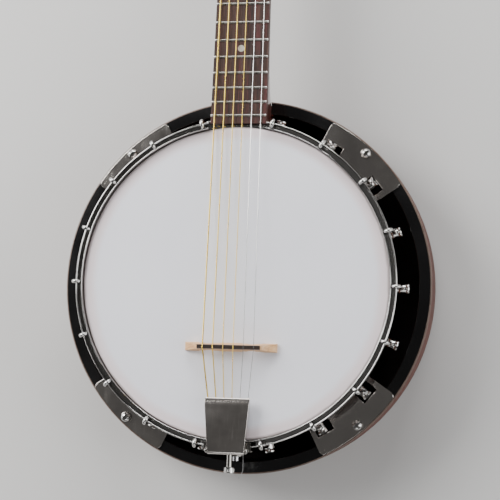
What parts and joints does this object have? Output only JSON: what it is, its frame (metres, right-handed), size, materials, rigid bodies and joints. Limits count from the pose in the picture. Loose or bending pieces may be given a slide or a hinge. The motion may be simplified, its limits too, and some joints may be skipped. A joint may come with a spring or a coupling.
{
  "type": "six string resonator banjo",
  "caption": "Resonator banjo with a guitar-width fretted neck, a frosted drum head held by a chrome hoop and hooks, geared tuners and a hinged tailpiece cover.",
  "frame": {"origin": "centre of the flat back of the resonator", "axes": "+Z out through the drum head, +Y along the neck towards the peghead, +X to the right seen from the front"},
  "size_m": [0.347, 0.8886, 0.1225],
  "materials": {
    "chrome": "polished chrome plate",
    "steel": "zinc plated",
    "brass": "plain brass",
    "rim_maple": "reddish brown stained laminated maple, satin",
    "head_film": "frosted white film",
    "mahogany": "gloss reddish brown mahogany",
    "black_lip": "gloss black",
    "binding": "aged cream binding",
    "neck_wood": "gloss dark red mahogany",
    "black_plastic": "gloss black",
    "rosewood": "oiled rosewood",
    "fret_wire": "polished nickel silver",
    "pearl": "pearl",
    "bone": "polished bone",
    "bronze": "bronze winding",
    "string_steel": "bright wire",
    "bridge_maple": "bare maple",
    "ebony": "polished ebony"
  },
  "bodies": {
    "banjo": {"rim": "rim_maple", "tone_ring": "brass", "head": "head_film", "flesh_hoop": "steel", "tension_hoop": "chrome", "hooks": "chrome", "hook_nuts": "chrome", "bracket_shoes": "chrome", "shoe_spacers": "chrome", "shoe_screws": "steel", "coordinator_rod": "steel", "rod_nuts": "steel", "flange_plates": "chrome", "resonator_back": "mahogany", "resonator_wall": "mahogany", "resonator_lip": "black_lip", "resonator_binding": "binding", "resonator_inserts": "brass", "neck": "neck_wood", "heel_cap": "black_plastic", "fingerboard": "rosewood", "frets": "fret_wire", "position_dots": "pearl", "nut": "bone", "truss_rod": "steel", "peghead": "neck_wood", "peghead_veneer": "black_plastic", "truss_cover": "black_plastic", "cover_screws": "chrome", "tuner_housings": "chrome", "tuner_bushings": "chrome", "tuner_screws": "chrome", "wound_strings": "bronze", "plain_strings": "string_steel", "bridge_body": "bridge_maple", "bridge_cap": "ebony", "tailpiece_frame": "chrome", "tailpiece_pin": "chrome", "tailpiece_hanger": "chrome"},
    "tuner_button_1": {"tuner_button_1": "chrome"},
    "tuner_post_1": {"tuner_post_1": "chrome"},
    "tuner_button_2": {"tuner_button_2": "chrome"},
    "tuner_post_2": {"tuner_post_2": "chrome"},
    "tuner_button_3": {"tuner_button_3": "chrome"},
    "tuner_post_3": {"tuner_post_3": "chrome"},
    "tuner_button_4": {"tuner_button_4": "chrome"},
    "tuner_post_4": {"tuner_post_4": "chrome"},
    "tuner_button_5": {"tuner_button_5": "chrome"},
    "tuner_post_5": {"tuner_post_5": "chrome"},
    "tuner_button_6": {"tuner_button_6": "chrome"},
    "tuner_post_6": {"tuner_post_6": "chrome"},
    "thumbscrew_1": {"thumbscrew_1": "chrome"},
    "thumbscrew_2": {"thumbscrew_2": "chrome"},
    "thumbscrew_3": {"thumbscrew_3": "chrome"},
    "thumbscrew_4": {"thumbscrew_4": "chrome"},
    "tailpiece_cover": {"tailpiece_cover": "chrome"},
    "tailpiece_screw": {"tailpiece_screw": "chrome"}
  },
  "joints": [
    {"name": "button_1_turn", "type": "hinge", "parent": "banjo", "child": "tuner_button_1", "pos_m": [-0.0215, 0.60752, 0.0484], "axis": [-1, 0, 0], "continuous": true},
    {"name": "post_1_turn", "type": "hinge", "parent": "banjo", "child": "tuner_post_1", "pos_m": [-0.0215, 0.6055, 0.07041], "axis": [0, 0.2756, 0.9613], "continuous": true},
    {"name": "button_2_turn", "type": "hinge", "parent": "banjo", "child": "tuner_button_2", "pos_m": [-0.0235, 0.64116, 0.03875], "axis": [-1, 0, 0], "continuous": true},
    {"name": "post_2_turn", "type": "hinge", "parent": "banjo", "child": "tuner_post_2", "pos_m": [-0.0235, 0.63915, 0.06076], "axis": [0, 0.2756, 0.9613], "continuous": true},
    {"name": "button_3_turn", "type": "hinge", "parent": "banjo", "child": "tuner_button_3", "pos_m": [-0.0235, 0.6748, 0.02911], "axis": [-1, 0, 0], "continuous": true},
    {"name": "post_3_turn", "type": "hinge", "parent": "banjo", "child": "tuner_post_3", "pos_m": [-0.0235, 0.67279, 0.05111], "axis": [0, 0.2756, 0.9613], "continuous": true},
    {"name": "button_4_turn", "type": "hinge", "parent": "banjo", "child": "tuner_button_4", "pos_m": [0.0235, 0.6748, 0.02911], "axis": [1, 0, 0], "continuous": true},
    {"name": "post_4_turn", "type": "hinge", "parent": "banjo", "child": "tuner_post_4", "pos_m": [0.0235, 0.67279, 0.05111], "axis": [0, 0.2756, 0.9613], "continuous": true},
    {"name": "button_5_turn", "type": "hinge", "parent": "banjo", "child": "tuner_button_5", "pos_m": [0.0235, 0.64116, 0.03875], "axis": [1, 0, 0], "continuous": true},
    {"name": "post_5_turn", "type": "hinge", "parent": "banjo", "child": "tuner_post_5", "pos_m": [0.0235, 0.63915, 0.06076], "axis": [0, 0.2756, 0.9613], "continuous": true},
    {"name": "button_6_turn", "type": "hinge", "parent": "banjo", "child": "tuner_button_6", "pos_m": [0.0215, 0.60752, 0.0484], "axis": [1, 0, 0], "continuous": true},
    {"name": "post_6_turn", "type": "hinge", "parent": "banjo", "child": "tuner_post_6", "pos_m": [0.0215, 0.6055, 0.07041], "axis": [0, 0.2756, 0.9613], "continuous": true},
    {"name": "thumbscrew_1_turn", "type": "hinge", "parent": "banjo", "child": "thumbscrew_1", "pos_m": [0.1113, 0.12275, 0.065], "axis": [0, 0, 1], "continuous": true},
    {"name": "thumbscrew_2_turn", "type": "hinge", "parent": "banjo", "child": "thumbscrew_2", "pos_m": [-0.1113, 0.12275, 0.065], "axis": [0, 0, 1], "continuous": true},
    {"name": "thumbscrew_3_turn", "type": "hinge", "parent": "banjo", "child": "thumbscrew_3", "pos_m": [-0.10893, -0.12487, 0.065], "axis": [0, 0, 1], "continuous": true},
    {"name": "thumbscrew_4_turn", "type": "hinge", "parent": "banjo", "child": "thumbscrew_4", "pos_m": [0.10893, -0.12487, 0.065], "axis": [0, 0, 1], "continuous": true},
    {"name": "tailpiece_cover_hinge", "type": "hinge", "parent": "banjo", "child": "tailpiece_cover", "pos_m": [0, -0.1495, 0.1172], "axis": [1, 0, 0], "range_deg": [0, 100]},
    {"name": "tailpiece_screw_turn", "type": "hinge", "parent": "banjo", "child": "tailpiece_screw", "pos_m": [0, -0.168, 0.103], "axis": [0, 1, 0], "continuous": true}
  ],
  "couplings": [
    {"joint": "post_1_turn", "follows": "button_1_turn", "ratio": 0.071429},
    {"joint": "post_2_turn", "follows": "button_2_turn", "ratio": 0.071429},
    {"joint": "post_3_turn", "follows": "button_3_turn", "ratio": 0.071429},
    {"joint": "post_4_turn", "follows": "button_4_turn", "ratio": -0.071429},
    {"joint": "post_5_turn", "follows": "button_5_turn", "ratio": -0.071429},
    {"joint": "post_6_turn", "follows": "button_6_turn", "ratio": -0.071429}
  ]
}
